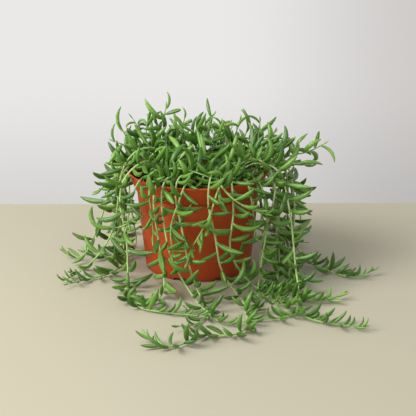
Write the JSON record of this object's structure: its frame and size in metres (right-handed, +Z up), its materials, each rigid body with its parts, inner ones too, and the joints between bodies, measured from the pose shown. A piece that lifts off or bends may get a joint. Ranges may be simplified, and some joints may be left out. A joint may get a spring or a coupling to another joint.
{
  "type": "potted string of bananas plant",
  "caption": "Trailing succulent with curved, banana-shaped leaves in a round plastic nursery pot, its stems hanging over the rim and lying along the surface.",
  "frame": {"origin": "centre of the pot's underside, on the surface that the pot stands on", "axes": "+Z up out of the pot, -Y towards the front, where the longest stem lies, +X to the right"},
  "size_m": [0.3546, 0.367, 0.195],
  "materials": {
    "pot_plastic": "satin terracotta-coloured moulded plastic",
    "potting_soil": "dark loose potting mix",
    "foliage": "waxy green leaves on paler stems"
  },
  "bodies": {
    "root": {"pot": "pot_plastic", "soil": "potting_soil", "vine_left_1": "foliage", "vine_left_2": "foliage", "vine_left_3": "foliage", "vine_left_4": "foliage", "vine_left_5": "foliage", "vine_left_6": "foliage", "vine_left_7": "foliage", "vine_left_8": "foliage", "vine_front_1": "foliage", "vine_front_2": "foliage", "vine_front_3": "foliage", "vine_front_4": "foliage", "vine_front_5": "foliage", "vine_front_6": "foliage", "vine_front_7": "foliage", "vine_front_8": "foliage", "vine_front_9": "foliage", "vine_front_10": "foliage", "vine_front_11": "foliage", "vine_right_1": "foliage", "vine_right_2": "foliage", "vine_right_3": "foliage", "vine_right_4": "foliage", "vine_right_5": "foliage", "vine_right_6": "foliage", "vine_right_7": "foliage", "vine_right_8": "foliage", "vine_right_9": "foliage", "vine_right_10": "foliage", "vine_back_1": "foliage", "vine_back_2": "foliage", "vine_back_3": "foliage", "vine_back_4": "foliage", "vine_back_5": "foliage", "vine_back_6": "foliage", "vine_back_7": "foliage", "vine_back_8": "foliage", "shoot_1": "foliage", "shoot_2": "foliage", "shoot_3": "foliage", "shoot_4": "foliage", "shoot_5": "foliage", "shoot_6": "foliage", "shoot_7": "foliage", "shoot_8": "foliage", "shoot_9": "foliage", "shoot_10": "foliage", "shoot_11": "foliage", "shoot_12": "foliage", "shoot_13": "foliage", "shoot_14": "foliage", "shoot_15": "foliage", "shoot_16": "foliage", "shoot_17": "foliage", "shoot_18": "foliage", "shoot_19": "foliage", "shoot_20": "foliage", "shoot_21": "foliage"}
  },
  "joints": []
}
